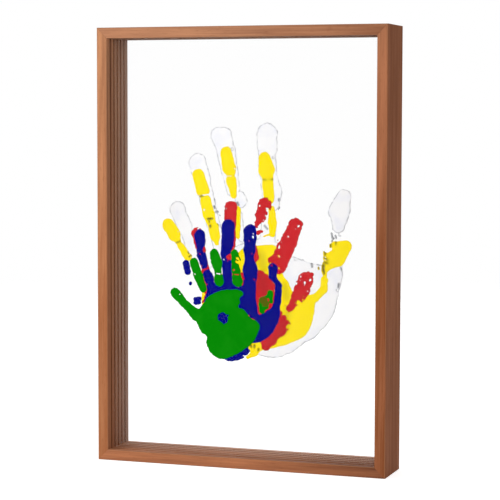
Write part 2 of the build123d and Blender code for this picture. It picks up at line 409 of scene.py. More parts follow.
@dataclass(frozen=True)
class PosterPaint:
    """Poster paint pressed on with a hand and left to dry.

    The eye gets a flat, chalky colour that is thinner in patches, with a fine print of skin lines, a rim
    where the paint was squeezed out and dried thicker, and a few dark crusts where it crinkled.

    Attributes:
        name: The material's name.
        body: Colour of the thick film.
        thin: Colour where the film is thin.
        rim: Colour of the dried rim.
        crust_and_shade: Colour of a dried crinkle, and the colour towards which a painted shadow of the
            prints in front darkens the paint.
        rim_width: Width of the rim in mm.
        rim_share: How strongly the rim shows, from 0 to 1.
        rim_run: How far the rim runs before it breaks off, in mm, as the pressure came and went.
        skin_line: Spacing of the skin's ridges in mm, drawn coarser than the real 0.5 mm so that they show.
        patch: Size of a thin patch in mm.
    """

    name: str
    body: str
    thin: str
    rim: str
    crust_and_shade: str
    rim_width: float = 0.7
    rim_share: float = 0.5
    rim_run: float = 3.0
    skin_line: float = 1.3
    patch: float = 9.0

    def material(self) -> Material:
        """Builds the finish.

        Returns:
            The new material.
        """
        material, tree = new_material(self.name)
        at = add(tree, "TexCoord").outputs["Object"]
        values = {"Vector": at, "Scale": 1 / (self.patch * MM), "Detail": 4.0, "Roughness": 0.6}
        patch = add(tree, "TexNoise", values)
        thin = add(tree, "MapRange", {"Value": patch, 1: 0.45, 2: 0.75})
        depth = add(tree, "Attribute", attribute_name="film_depth").outputs["Fac"]
        inmost, most = self.rim_width, self.rim_share
        rim = add(tree, "MapRange", {"Value": depth, 1: 0.2 * inmost, 2: inmost, 3: most, 4: 0.0})
        broken = add(tree, "TexNoise", {"Vector": at, "Scale": 1 / (self.rim_run * MM)})
        gaps = add(tree, "MapRange", {"Value": broken, 1: 0.32, 2: 0.55})
        edge = add(tree, "Math", {0: rim, 1: gaps}, operation="MULTIPLY")
        # Dried crinkles and painted shadows of the prints in front darken the paint towards the crust
        # colour.
        crust_and_shade_share = add(tree, "Attribute", attribute_name="film_crust_and_shade").outputs["Fac"]
        colour = srgb(self.body)
        for share, tint in ((thin, self.thin), (edge, self.rim), (crust_and_shade_share, self.crust_and_shade)):
            colour = add(tree, "Mix", {0: share, 6: colour, 7: srgb(tint)}, data_type="RGBA")
        # A wave texture's bands lie 0.314 of its unit apart at scale 1.
        bands = 0.314 / (self.skin_line * MM)
        values = {"Vector": at, "Scale": bands, "Distortion": 6.0, "Detail": 1.0, "Detail Scale": 0.4}
        lines = add(tree, "TexWave", values, bands_direction="DIAGONAL")
        # Skin lines and patches about 0.08 mm deep.
        relief = add(tree, "Math", {0: lines.outputs["Fac"], 1: 0.35, 2: patch}, operation="MULTIPLY_ADD")
        bump = add(tree, "Bump", {"Height": relief, "Strength": 0.4, "Distance": 0.08 * MM})
        gloss = add(tree, "MapRange", {"Value": patch, 1: 0.3, 2: 0.7, 3: 0.62, 4: 0.78})
        chalk = {"Roughness": gloss, "IOR": 1.48, "Specular IOR Level": 0.02}
        shader = add(tree, "BsdfPrincipled", {"Base Color": colour, "Normal": bump, **chalk})
        add(tree, "OutputMaterial", {"Surface": shader})
        return material


class Touch(Enum):
    """What a stroke leaves on the pane."""

    PAINT = "paint"
    BARE = "bare"
    CRUST = "crust_and_shade"
    # A painted shadow of the prints in front.
    PAINTED_SHADOW = "darkening"

    def __call__(self, *dabs: Dab) -> "Stroke":
        """A stroke that leaves this, through two or more dabs."""
        return Stroke(self, dabs)


PAINT, BARE, CRUST, PAINTED_SHADOW = Touch


def within(x: np.ndarray, z: np.ndarray, start: Dab, end: Dab) -> np.ndarray:
    """Depth of each grid point inside the straight run from one dab to another.

    Args:
        x: Grid of places across the pane, in mm.
        z: Grid of places up the pane, in mm.
        start: The first dab.
        end: The last dab.

    Returns:
        How far each point lies inside the run's edge, in mm, below 0 outside it.
    """
    run_x = end[0] - start[0]
    run_z = end[1] - start[1]
    square = max(run_x * run_x + run_z * run_z, 1e-6)
    along = np.clip(((x - start[0]) * run_x + (z - start[1]) * run_z) / square, 0, 1)
    away = np.hypot(x - start[0] - along * run_x, z - start[1] - along * run_z)
    return (start[2] + along * (end[2] - start[2])) / 2 - away


@dataclass(frozen=True)
class Stroke:
    """Runs of paint, of dried crust, of painted shadow or of bare pane from dab to dab.

    Attributes:
        touch: What the stroke leaves.
        dabs: The dabs, in order.
    """

    touch: Touch
    dabs: tuple[Dab, ...]

    def depths(self, x: np.ndarray, z: np.ndarray) -> list[np.ndarray]:
        """Depth of each grid point, at x and z in mm, inside each run in turn, in mm."""
        return [within(x, z, start, end) for start, end in zip(self.dabs, self.dabs[1:])]


@dataclass(frozen=True)
class Palm:
    """A palm's outline.

    Attributes:
        points: Places on the edge, in order.
    """

    points: tuple[Place, ...]

    def edge(self, bits: int = 6) -> np.ndarray:
        """Draws a smooth closed curve through the points.

        Args:
            bits: Straight bits from one point to the next.

        Returns:
            One row for each straight bit: x and z of its two ends, in mm.
        """
        p = np.array(self.points)
        before, after, later = np.roll(p, 1, 0), np.roll(p, -1, 0), np.roll(p, -2, 0)
        bend = 2 * before - 5 * p + 4 * after - later
        twist = 3 * (p - after) + later - before
        curve = [p + 0.5 * t * (after - before + t * (bend + t * twist)) for t in np.arange(bits) / bits]
        ring = np.stack(curve, 1).reshape(-1, 2)
        return np.hstack([ring, np.roll(ring, -1, 0)])

    def depth(self, x: np.ndarray, z: np.ndarray, reach: float) -> np.ndarray:
        """Depth of each grid point inside the palm.

        Args:
            x: Grid of places across the pane, in mm.
            z: Grid of places up the pane, in mm.
            reach: Greatest depth that is worked out, in mm.

        Returns:
            How far each point lies inside the edge, in mm, below 0 outside it.
        """
        xs = x[0]
        zs = z[:, 0]
        away = np.full(x.shape, reach)
        inside = np.zeros(x.shape, bool)
        for x0, z0, x1, z1 in self.edge():
            # Only points near this bit of the edge can have it as their nearest.
            i = slice(*np.searchsorted(zs, (min(z0, z1) - reach, max(z0, z1) + reach)))
            j = slice(*np.searchsorted(xs, (min(x0, x1) - reach, max(x0, x1) + reach)))
            past = -within(x[i, j], z[i, j], (x0, z0, 0.0), (x1, z1, 0.0))
            away[i, j] = np.minimum(away[i, j], past)
            # A line to the left crosses the outline an odd number of times from inside it.
            if z0 != z1:
                rows = slice(*np.searchsorted(zs, (min(z0, z1), max(z0, z1))))
                crossing = x0 + (zs[rows] - z0) * (x1 - x0) / (z1 - z0)
                inside[rows] ^= xs[None, :] > crossing[:, None]
        return np.where(inside, away, -away)


def drift(random: np.random.Generator, shape: tuple[int, int], cells: float) -> np.ndarray:
    """Smooth random values over a grid.

    Args:
        random: The seeded source of the values.
        shape: Rows and columns of the grid.
        cells: Random cells per grid step.

    Returns:
        Values from -1 to 1.
    """
    lattice = random.uniform(-1, 1, (int(shape[0] * cells) + 3, int(shape[1] * cells) + 3))
    row = np.arange(shape[0]) * cells
    column = np.arange(shape[1]) * cells
    i = row.astype(int)
    j = column.astype(int)
    u = (row - i)[:, None]
    v = (column - j)[None, :]
    u = u * u * (3 - 2 * u)
    v = v * v * (3 - 2 * v)
    near = lattice[np.ix_(i, j)] * (1 - v) + lattice[np.ix_(i, j + 1)] * v
    far = lattice[np.ix_(i + 1, j)] * (1 - v) + lattice[np.ix_(i + 1, j + 1)] * v
    return near * (1 - u) + far * u


@dataclass
class Handprint:
    """The painted film of one hand, where its plain solid lies.

    Attributes:
        node: The plain solid that the film stands for.
        slot: The record's name for the paint. It is not used.
        paint: The film's finish.
        palm: The palm's outline.
        strokes: Fingers and smaller bits of paint, crust, painted shadow or bare pane, in the order in
            which they are laid.
        wander: How far the edge wanders, in mm.
        crumbs: How far small crumbs roughen the edge, in mm.
        specks: How many small bare specks lie inside the edge.
        seed: Seed of the film's random marks.
        step: Spacing of the film's grid, in mm.
        margin: Bare strip round the solid's box that the grid also covers, in mm.
        film: Greatest thickness of the paint, in mm.
        keyed: How far the back of the film sits in the pane's face, in mm, so that the two share no plane.
        sway: Length over which the edge wanders, in mm.
        crumb: Size of a crumb at the edge, in mm.
        grit: Size of the finer crumbs, which roughen the edge half as far, in mm.
        strip: Least and greatest depth at which a bare speck lies, in mm.
        speck: Least and greatest width of a speck, in mm.
        smear: How far a speck may run each way, in mm.
        mottle: Size of a spot in a crust, in mm.
        crust_edge: Share of crust at the edge of its stroke.
        crust_rise: How fast that share rises inwards, per mm.
        darkening: Share of the crust colour in a painted shadow of the prints in front.
        shadow_fade: Depth inside its stroke at which a painted shadow reaches that share, in mm.
        patch: Size of an uneven patch, in mm.
        rise: Depth over which the film rises from its edge, in mm.
        rim: Depth at which the dried rim lies, in mm.
        rim_spread: How far the rim spreads each way, in mm.
        shares: Shares of the thickness at the edge, in the rise, in the rim and in the uneven patches.
    """

    node: str
    slot: str
    paint: PosterPaint
    palm: Palm
    strokes: tuple[Stroke, ...]
    wander: float
    crumbs: float
    specks: int
    seed: int
    step: float = 0.5
    margin: float = 5.0
    film: float = 0.25
    keyed: float = 0.02
    sway: float = 5.0
    crumb: float = 1.4
    grit: float = 0.8
    strip: tuple[float, float] = (0.4, 2.5)
    speck: tuple[float, float] = (0.5, 1.5)
    smear: float = 0.8
    mottle: float = 0.9
    crust_edge: float = 0.7
    crust_rise: float = 1.2
    darkening: float = 0.35
    shadow_fade: float = 5.0
    patch: float = 2.5
    rise: float = 0.6
    rim: float = 0.7
    rim_spread: float = 0.45
    shares: tuple[float, float, float, float] = (0.15, 0.45, 0.2, 0.2)

    def field(self) -> tuple[np.ndarray, np.ndarray, np.ndarray, np.ndarray]:
        """Works out how deep each point of a grid lies in the paint.

        Returns:
            Places across, places up, and the depth at each, all in mm, below 0 on bare pane. Last comes how
            far each point is darkened towards the crust colour, by dried crust or by painted shadow, from 0
            to 1.
        """
        low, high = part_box(self.node)
        reach = self.margin
        xs = np.arange(low.x / MM - reach, high.x / MM + reach, self.step)
        zs = np.arange(low.z / MM - PANE_MIDDLE - reach, high.z / MM - PANE_MIDDLE + reach, self.step)
        x, z = np.meshgrid(xs, zs)
        depth = self.palm.depth(x, z, reach)
        crust_and_shade = np.zeros(x.shape)
        for touch, own in ((stroke.touch, own) for stroke in self.strokes for own in stroke.depths(x, z)):
            if touch is BARE:
                depth = np.minimum(depth, -own)
                continue
            # A painted shadow of the prints in front darkens the paint towards its crust colour, more so
            # deeper inside the stroke.
            if touch is PAINTED_SHADOW:
                crust_and_shade = np.maximum(crust_and_shade, self.darkening * np.clip(own / self.shadow_fade, 0, 1))
                continue
            if touch is CRUST:
                crust_and_shade = np.maximum(crust_and_shade, np.clip(self.crust_edge + self.crust_rise * own, 0, 1))
            # Wet paint rounds the corner where two runs of it meet, over about 1 mm.
            share = np.clip(0.5 + 0.5 * (own - depth), 0, 1)
            depth = depth + share * (own - depth) + share * (1 - share)
        random = np.random.default_rng(self.seed)
        marks = ((self.sway, self.wander), (self.crumb, self.crumbs), (self.grit, 0.5 * self.crumbs))
        for size, stray in marks:
            depth = depth + stray * drift(random, x.shape, self.step / size)
        rows, columns = np.nonzero((depth > self.strip[0]) & (depth < self.strip[1]))
        for pick in random.integers(0, len(rows), self.specks):
            start = (xs[columns[pick]], zs[rows[pick]], random.uniform(*self.speck))
            end_x = start[0] + random.uniform(-self.smear, self.smear)
            end_z = start[1] + random.uniform(-self.smear, self.smear)
            depth = np.minimum(depth, -within(x, z, start, (end_x, end_z, 0.6 * start[2])))
        # The mottling takes away up to about a third of the darkening, from crust and from painted shadow
        # alike.
        return xs, zs, depth, crust_and_shade * (0.82 + 0.18 * drift(random, x.shape, self.step / self.mottle))

    def cut(self, xs: np.ndarray, zs: np.ndarray, depth: np.ndarray) -> tuple[np.ndarray, list[list[int]]]:
        """Cuts the painted part out of the grid, along the paint's edge.

        Args:
            xs: Places across the pane, in mm.
            zs: Places up the pane, in mm.
            depth: Depth in the paint at each of them, in mm.

        Returns:
            A row of x, z and depth in mm for each point, and the numbers of the points round each face.
        """
        points: list[tuple[float, float, float]] = []
        known: dict[tuple, int] = {}
        faces: list[list[int]] = []

        def point(a: tuple[int, int], b: tuple[int, int]) -> int:
            """Finds the point at grid corner a, or where the edge crosses from a to b.

            Args:
                a: Row and column of a corner in the paint or next to it.
                b: The same corner, or the next one round the cell.

            Returns:
                The point's number.
            """
            key = (a, b) if a < b else (b, a)
            if key not in known:
                known[key] = len(points)
                t = 0.0 if a == b else depth[a] / (depth[a] - depth[b])
                x = xs[a[1]] + t * (xs[b[1]] - xs[a[1]])
                z = zs[a[0]] + t * (zs[b[0]] - zs[a[0]])
                points.append((x, z, depth[a] + t * (depth[b] - depth[a])))
            return known[key]

        full = depth > 0
        cells = full[:-1, :-1] | full[1:, :-1] | full[:-1, 1:] | full[1:, 1:]
        for i, j in np.argwhere(cells).tolist():
            ring = ((i, j), (i, j + 1), (i + 1, j + 1), (i + 1, j))
            face = []
            for a, b in zip(ring, ring[1:] + ring[:1]):
                if full[a]:
                    face.append(point(a, a))
                if full[a] != full[b]:
                    face.append(point(a, b))
            faces.append(face)
        return np.array(points), faces

    def build(self, body: str) -> None:
        """Makes the film as a closed thin mesh and puts it on its pane.

        Args:
            body: The body that the film moves with.
        """
        xs, zs, depth, crust_and_shade = self.field()
        flat, faces = self.cut(xs, zs, depth)
        random = np.random.default_rng(self.seed + 1)
        uneven = 0.5 + 0.5 * drift(random, depth.shape, self.step / self.patch)
        column = np.clip(((flat[:, 0] - xs[0]) / self.step).astype(int), 0, len(xs) - 1)
        row = np.clip(((flat[:, 1] - zs[0]) / self.step).astype(int), 0, len(zs) - 1)
        # No mark on the film lies deeper than 3 mm.
        inward = np.clip(flat[:, 2], 0, 3)
        rise = np.clip(inward / self.rise, 0, 1)
        rim = np.exp(-(((inward - self.rim) / self.rim_spread) ** 2))
        edge, risen, rimmed, patched = self.shares
        level = edge + risen * rise + rimmed * rim + patched * uneven[row, column]
        thick = self.film * np.clip(level, 0, 1)
        _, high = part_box(self.node)
        face_y = high.y / MM
        front = np.column_stack([flat[:, 0], face_y - thick, flat[:, 1] + PANE_MIDDLE])
        back = front.copy()
        back[:, 1] = face_y + self.keyed
        count = len(flat)
        runs = {(a, b) for face in faces for a, b in zip(face, face[1:] + face[:1])}
        walls = [[b, a, a + count, b + count] for a, b in sorted(runs) if (b, a) not in runs]
        backs = [[v + count for v in reversed(face)] for face in faces]
        mesh = bpy.data.meshes.new(self.node + "_film")
        mesh.from_pydata((np.vstack([front, back]) * MM).tolist(), [], faces + backs + walls)
        mesh.polygons.foreach_set("use_smooth", [True] * (2 * len(faces)) + [False] * len(walls))
        for name, values in (("film_depth", inward), ("film_crust_and_shade", crust_and_shade[row, column])):
            mesh.attributes.new(name, "FLOAT", "POINT").data.foreach_set("value", np.tile(values, 2))
        mesh.materials.append(self.paint.material())
        piece = bpy.data.objects.new(self.node + "_film", mesh)
        bpy.context.scene.collection.objects.link(piece)
        # Lamps reach the prints behind this one, and it does not tint them, so that they keep their colour.
        piece.visible_shadow = False
        piece.visible_diffuse = False
        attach(piece, body)
        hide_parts(self.node)
        log.info("%s has %d faces of %s", piece.name, len(mesh.polygons), self.paint.name)


@dataclass
class PaneSet:
    """The clear panes and the painted hands on them, front to back.

    Attributes:
        sheet: Finish of the panes.
        hands: One print for each pane.
    """

    sheet: CastAcrylic
    hands: tuple[Handprint, ...]

    def dress(self) -> None:
        """Finishes the panes, which let lamps through to what is behind them."""
        clear = self.sheet.material()
        for number in range(1, len(self.hands) + 1):
            name = f"pane_{number}"
            dress(name, clear)
            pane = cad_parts[name]
            pane.visible_shadow = False
            pane.visible_diffuse = False

    def build(self) -> None:
        """Makes each hand's film on its own pane."""
        for number, hand in enumerate(self.hands, 1):
            hand.build(f"pane_{number}")


@dataclass
class WoodFrame:
    """The mitred frame with its lift-off top rail, keys, pins and magnets.

    Attributes:
        rails: The finish of each rail.
        key: Finish of the hidden mitre keys.
        pin: Finish of the locating pins.
        magnet: Finish of the disc magnets.
    """

    rails: dict[str, StainedBeech]
    key: RawBeech
    pin: Metal
    magnet: Metal

    def dress(self) -> None:
        """Finishes every solid of the woodwork."""
        for node, finish in self.rails.items():
            dress(node, finish.material())
        key = self.key.material()
        pin = self.pin.material()
        magnet = self.magnet.material()
        for side in ("left", "right"):
            dress(f"mitre_key_{side}", key)
            dress(f"locating_pins_{side}", pin)
            dress(f"stile_magnets_{side}", magnet)
            dress(f"top_rail_magnets_{side}", magnet)


def seen(tree: NodeTree) -> Node:
    """Finds the rays that show the background as it is.

    Args:
        tree: The tree that asks.

    Returns:
        A node that gives 1 for rays from the camera, a mirror or glass, and 0 for light on the object.
    """
    path = add(tree, "LightPath").outputs
    gloss = add(tree, "Math", {0: path["Is Camera Ray"], 1: path["Is Glossy Ray"]}, operation="MAXIMUM")
    return add(tree, "Math", {0: gloss, 1: path["Is Transmission Ray"]}, operation="MAXIMUM")


@dataclass(frozen=True)
class WhitePaper:
    """Matt white paper that fades into the white surroundings.

    Attributes:
        name: The material's name.
        colour: Colour of the paper.
        glow: Light that the paper adds where the camera sees it, so that it stays white.
        radius: Radius of the round sheet, in metres.
        fibre: Size of a paper fibre in mm.
    """

    name: str = "white paper, matt"
    colour: str = "f4f4f3"
    glow: float = 0.68
    radius: float = 1.6
    fibre: float = 2.0

    def material(self) -> Material:
        """Builds the finish.

        Returns:
            The new material.
        """
        material, tree = new_material(self.name)
        at = add(tree, "TexCoord").outputs["Object"]
        fibre = add(tree, "TexNoise", {"Vector": at, "Scale": 1 / (self.fibre * MM)})
        bump = add(tree, "Bump", {"Height": fibre, "Strength": 0.1, "Distance": 0.05 * MM})
        glow = add(tree, "Math", {0: seen(tree), 1: self.glow}, operation="MULTIPLY")
        matt = {"Base Color": srgb(self.colour), "Roughness": 0.9, "Specular IOR Level": 0.1}
        light = {"Emission Color": WHITE, "Emission Strength": glow}
        paper = add(tree, "BsdfPrincipled", {**matt, **light, "Normal": bump})
        clear = add(tree, "BsdfTransparent")
        away = add(tree, "VectorMath", {0: at}, operation="LENGTH")
        ends = {1: 0.4 * self.radius, 2: 0.97 * self.radius}
        fade = add(tree, "MapRange", {"Value": away, **ends}, interpolation_type="SMOOTHSTEP")
        both = add(tree, "MixShader", {0: fade, 1: paper, 2: clear})
        add(tree, "OutputMaterial", {"Surface": both})
        return material


@dataclass(frozen=True)
class SoftBox:
    """One soft lamp, aimed at the frame's middle.

    Attributes:
        name: The lamp's name.
        place: Middle of its face, in metres.
        size: Width and height of its face, in metres.
        watts: Its power.
    """

    name: str
    place: tuple[float, float, float]
    size: tuple[float, float]
    watts: float

    def hang(self) -> None:
        """Hangs the lamp, where the panes neither mirror nor show it."""
        light = bpy.data.lights.new(self.name, "AREA")
        light.shape = "RECTANGLE"
        light.size, light.size_y = self.size
        light.energy = self.watts
        lamp = bpy.data.objects.new(self.name, light)
        lamp.visible_glossy = False
        lamp.visible_transmission = False
        place = Vector(self.place)
        aim = Vector((0, 0, FRAME_MIDDLE * MM)) - place
        lamp.matrix_world = Matrix.Translation(place) @ aim.to_track_quat("-Z", "Y").to_matrix().to_4x4()
        bpy.context.scene.collection.objects.link(lamp)


@dataclass
class Studio:
    """Camera, lamps, white surroundings and the pale floor.

    Attributes:
        azimuth: Camera's angle to the right of the front, in degrees.
        elevation: Camera's angle above level, in degrees.
        roll: Camera's turn about its own line of sight, in degrees.
        distance: Camera's distance from the frame's middle, in mm.
        aside: How far the camera is moved to its right, in mm.
        raised: How far the camera is moved up its own frame, in mm.
        focus: Focal length in pixels of the picture.
        picture: Width of the picture in pixels.
        lamps: A soft box close by on the left, which gives the fall of light along the rails, a large one
            behind the camera, which keeps the back prints light, a low one behind the frame and one above.
        fill: Strength of the light from all round.
        paper: Finish of the floor.
        corners: Corners of the round floor.
    """

    azimuth: float = 19.1
    elevation: float = 4.24
    roll: float = 0.12
    distance: float = 1353.0
    aside: float = 1.95
    raised: float = -1.96
    focus: float = 1824.0
    picture: int = 500
    lamps: tuple[SoftBox, ...] = (
        SoftBox("near soft box", (-0.46, -0.36, 0.38), (0.30, 0.36), 1.6),
        SoftBox("far soft box", (0.60, -1.76, 0.50), (0.60, 0.60), 14.9),
        SoftBox("rear soft box", (-0.45, 1.75, 0.26), (0.60, 0.60), 9.5),
        SoftBox("top soft box", (-0.10, 0.25, 1.40), (0.50, 0.50), 2.4),
    )
    fill: float = 0.28
    paper: WhitePaper = WhitePaper()
    corners: int = 64

    def camera(self) -> None:
        """Places the camera where the photograph was taken from."""
        a, e, r = math.radians(self.azimuth), math.radians(self.elevation), math.radians(self.roll)
        back = Vector((math.sin(a) * math.cos(e), -math.cos(a) * math.cos(e), math.sin(e)))
        right = (-back).cross(Vector((0, 0, 1))).normalized()
        up = right.cross(-back)
        right, up = math.cos(r) * right + math.sin(r) * up, math.cos(r) * up - math.sin(r) * right
        place = Vector((0, 0, FRAME_MIDDLE)) + back * self.distance + right * self.aside + up * self.raised
        lens = bpy.data.cameras.new("camera")
        lens.sensor_width = 36.0
        lens.lens = self.focus * lens.sensor_width / self.picture
        camera = bpy.data.objects.new("camera", lens)
        turn = Matrix((right, up, back)).transposed().to_4x4()
        camera.matrix_world = Matrix.Translation(place * MM) @ turn
        bpy.context.scene.collection.objects.link(camera)
        bpy.context.scene.camera = camera

    def surroundings(self) -> None:
        """Sets white surroundings that light the object less than they show."""
        world = bpy.data.worlds.new("white studio")
        world.use_nodes = True
        tree = world.node_tree
        tree.nodes.clear()
        level = add(tree, "MapRange", {"Value": seen(tree), 3: self.fill, 4: 1.0})
        white = add(tree, "Background", {"Color": WHITE, "Strength": level})
        add(tree, "OutputWorld", {"Surface": white})
        bpy.context.scene.world = world

    def floor(self) -> None:
        """Lays a round of white paper."""
        turns = [2 * math.pi * corner / self.corners for corner in range(self.corners)]
        radius = self.paper.radius
        rim = [(radius * math.cos(turn), radius * math.sin(turn), 0.0) for turn in turns]
        mesh = bpy.data.meshes.new("floor")
        mesh.from_pydata(rim, [], [range(self.corners)])
        mesh.materials.append(self.paper.material())
        floor = bpy.data.objects.new("floor", mesh)
        bpy.context.scene.collection.objects.link(floor)

    def build(self) -> None:
        """Sets up the whole studio."""
        self.camera()
        for lamp in self.lamps:
            lamp.hang()
        self.surroundings()
        self.floor()
        bpy.context.scene.view_settings.view_transform = "Standard"


def wood_frame() -> WoodFrame:
    """Chooses the finish of each piece of the woodwork.

    Returns:
        The woodwork.
    """
    # Each rail's shaded end colour, and the darker stains of the right stile and the bottom rail, are
    # painted shade where the light falls off towards the lower right. The inner-face colours are a painted
    # sheen.
    rails = {
        "left_stile": StainedBeech(
            "stained beech, left stile", Grain.UPRIGHT, "c88d65", "98674b", "a2613b", 0.02, 0.65, "b08f7e",
            (310, 120, 550),
        ),
        "right_stile": StainedBeech(
            "stained beech, right stile", Grain.UPRIGHT, "c07d59", "996548", "824624", 0.02, 0.8, "9a7d6f",
            (730, 410, 170),
        ),
        "top_rail": StainedBeech(
            "stained beech, top rail", Grain.LEVEL, "c28965", "9a694f", "8a563b", 0.03, 0.8, "9a7d6f",
            (150, 880, 360),
        ),
        "bottom_rail": StainedBeech(
            "stained beech, bottom rail", Grain.LEVEL, "c07b52", "985e3f", "54260f", 0.25, 0.28, "c99a7f",
            (520, 270, 910),
        ),
    }
    return WoodFrame(
        rails,
        key=RawBeech(),
        pin=Metal("turned steel", "c9cacc", "a9a7a2", 0.28, 0.25, True),
        magnet=Metal("nickel plate", "d6d2ca", "b6b0a6", 0.2, 0.6, False),
    )


def green_hand() -> Handprint:
    """The smallest hand, in front.

    Returns:
        The print.
    """
    paint = PosterPaint("poster paint, leaf green", "068605", "108c0b", "056404", "5f5614")
    palm = Palm((
        (-25.6, -35.7), (-20.4, -32.5), (-13.9, -30.3), (-5.3, -29.7), (0.6, -31.0), (1.6, -33.4),
        (-0.6, -36.0), (-0.4, -39.5), (-1.8, -42.5), (2.4, -44.6), (5.6, -48.2), (8.2, -51.0),
        (12.0, -52.3), (14.9, -56.0), (13.9, -60.4), (11.9, -64.9), (8.8, -69.3), (2.7, -74.0),
        (-3.9, -78.0), (-8.5, -80.7), (-13.8, -81.8), (-19.0, -81.0), (-23.0, -78.0), (-25.6, -73.8),
        (-26.9, -69.5), (-26.4, -65.6), (-31.5, -62.1), (-34.1, -57.2), (-36.8, -52.3), (-36.0, -47.0),
        (-32.6, -45.2), (-29.2, -40.6),
    ))
    strokes = (
        # Little finger
        PAINT((-52.0, -33.8, 7.6), (-44.0, -42.0, 6.2), (-35.0, -50.0, 9.0)),
        # Ring finger
        PAINT((-37.0, -10.5, 7.0), (-33.5, -20.0, 7.4), (-29.7, -30.0, 6.0)),
        # Middle finger
        PAINT((-20.9, -3.4, 7.0), (-19.0, -10.5, 8.2), (-17.9, -16.5, 6.0)),
        PAINT((-17.4, -20.6, 6.4), (-16.8, -24.0, 7.2)),
        BARE((-19.0, -18.3, 0.5), (-16.6, -18.7, 0.9)),
        # Index finger, torn along its right side
        PAINT((-4.7, -3.4, 6.2), (-4.6, -9.0, 5.4), (-3.6, -16.0, 7.2)),
        PAINT((-2.4, -4.6, 2.4), (-0.4, -8.0, 1.6)), PAINT((-3.2, -20.6, 7.4), (-2.7, -23.4, 8.6)),
        BARE((-3.4, -9.4, 1.4), (0.6, -10.6, 2.2)), BARE((-2.9, -6.6, 0.9), (-2.0, -7.0, 1.2)),
        BARE((-5.4, -18.6, 0.7), (-1.8, -18.6, 1.3)),
        # Thumb, only partly pressed down, with a brown smear across it
        PAINT((22.8, -31.4, 4.2), (23.8, -38.0, 2.6)), PAINT((21.2, -35.8, 6.2), (17.9, -38.4, 7.2)),
        PAINT((16.7, -40.4, 5.8), (16.2, -44.8, 4.4)), PAINT((17.4, -41.6, 4.6), (20.4, -42.0, 2.4)),
        CRUST((17.3, -37.0, 5.4), (19.8, -37.8, 4.8)), CRUST((17.8, -40.4, 2.0), (20.2, -40.6, 1.6)),
        BARE((21.2, -36.2, 1.4), (21.4, -36.8, 1.2)),
        # The hollow of the palm
        BARE((-14.6, -50.6, 7.2), (-12.9, -52.4, 6.0)), BARE((-12.4, -49.6, 2.6), (-10.0, -49.2, 1.4)),
        BARE((-13.4, -53.6, 3.4), (-13.2, -55.8, 1.2)),
    )
    return Handprint(
        "handprint_1_green", "green_paint", paint, palm, strokes,
        wander=0.35, crumbs=0.28, specks=3, seed=11, step=0.45,
    )


def blue_hand() -> Handprint:
    """The second hand, whose little finger hardly touched.

    Returns:
        The print.
    """
    paint = PosterPaint("poster paint, navy blue", "020680", "040988", "020462", "02023a")
    palm = Palm((
        (-30.0, -36.0), (-26.0, -27.5), (-18.0, -26.4), (-8.0, -27.0), (0.0, -27.6), (8.0, -30.0),
        (10.2, -40.0), (11.0, -46.6), (13.4, -48.0), (18.0, -45.4), (22.6, -43.2), (27.8, -45.4),
        (27.2, -51.4), (24.9, -58.0), (21.8, -62.8), (16.3, -67.2), (10.6, -69.2), (6.4, -69.8),
        (3.8, -73.6), (5.1, -76.0), (0.0, -80.6), (-5.0, -82.8), (-10.8, -84.0), (-18.0, -81.6),
        (-24.0, -76.0), (-27.0, -66.0), (-31.0, -57.0), (-32.0, -46.0),
    ))
    strokes = (
        # Little finger, in bits
        PAINT((-45.8, -11.8, 4.8), (-44.2, -18.2, 5.4)), PAINT((-42.3, -27.0, 1.9), (-42.0, -26.8, 1.7)),
        PAINT((-38.2, -38.6, 3.4), (-35.0, -38.4, 3.2)), PAINT((-38.0, -41.2, 3.2), (-35.4, -41.4, 2.8)),
        BARE((-44.8, -13.0, 0.8), (-44.4, -13.8, 1.2)),
        # Ring finger
        PAINT((-34.7, 8.9, 9.4), (-34.2, 4.4, 7.8), (-34.2, 0.8, 5.6), (-33.4, -4.6, 6.6)),
        PAINT((-33.0, -5.6, 6.8), (-31.3, -13.2, 5.6)), PAINT((-28.7, -19.2, 6.6), (-25.0, -29.0, 8.0)),
        BARE((-31.8, 0.4, 1.2), (-31.3, -2.4, 1.9)), BARE((-33.2, -1.4, 0.7), (-33.0, -1.6, 0.6)),
        # Middle finger
        PAINT((-12.2, 16.4, 10.6), (-13.0, 4.0, 9.6), (-14.0, -4.0, 7.8), (-12.6, -28.0, 7.6)),
        BARE((-9.8, -6.0, 4.2), (-11.8, -6.8, 3.4)),
        # Index finger
        PAINT((4.9, 13.2, 10.2), (4.8, 6.6, 9.6)),
        PAINT((4.8, 3.0, 8.2), (4.6, -1.0, 9.0), (4.6, -6.8, 6.8)),
        PAINT((4.6, -9.0, 8.4), (4.9, -15.0, 11.4), (4.8, -30.0, 9.8)),
        BARE((7.2, 9.2, 1.5), (7.4, 8.2, 1.2)), BARE((4.2, 5.8, 0.8), (4.0, 5.6, 0.7)),
        BARE((10.4, -22.0, 1.1), (10.1, -25.6, 1.6)),
        # Thumb, on its edge
        PAINT((22.6, -13.8, 7.4), (22.4, -19.4, 6.0)), PAINT((23.4, -20.6, 3.6), (27.4, -26.4, 4.6)),
        PAINT((27.2, -26.4, 5.6), (26.4, -38.0, 5.4)), PAINT((26.4, -38.0, 5.2), (24.0, -47.0, 7.0)),
        # Thin paint beside the hollow of the palm
        BARE((-4.6, -44.4, 0.7), (-3.8, -44.6, 0.9)), BARE((6.0, -51.6, 1.0), (8.6, -52.2, 0.8)),
        BARE((3.6, -49.6, 0.7), (4.2, -49.4, 0.7)),
    )
    return Handprint(
        "handprint_2_blue", "blue_paint", paint, palm, strokes,
        wander=0.4, crumbs=0.34, specks=16, seed=23, step=0.45,
    )


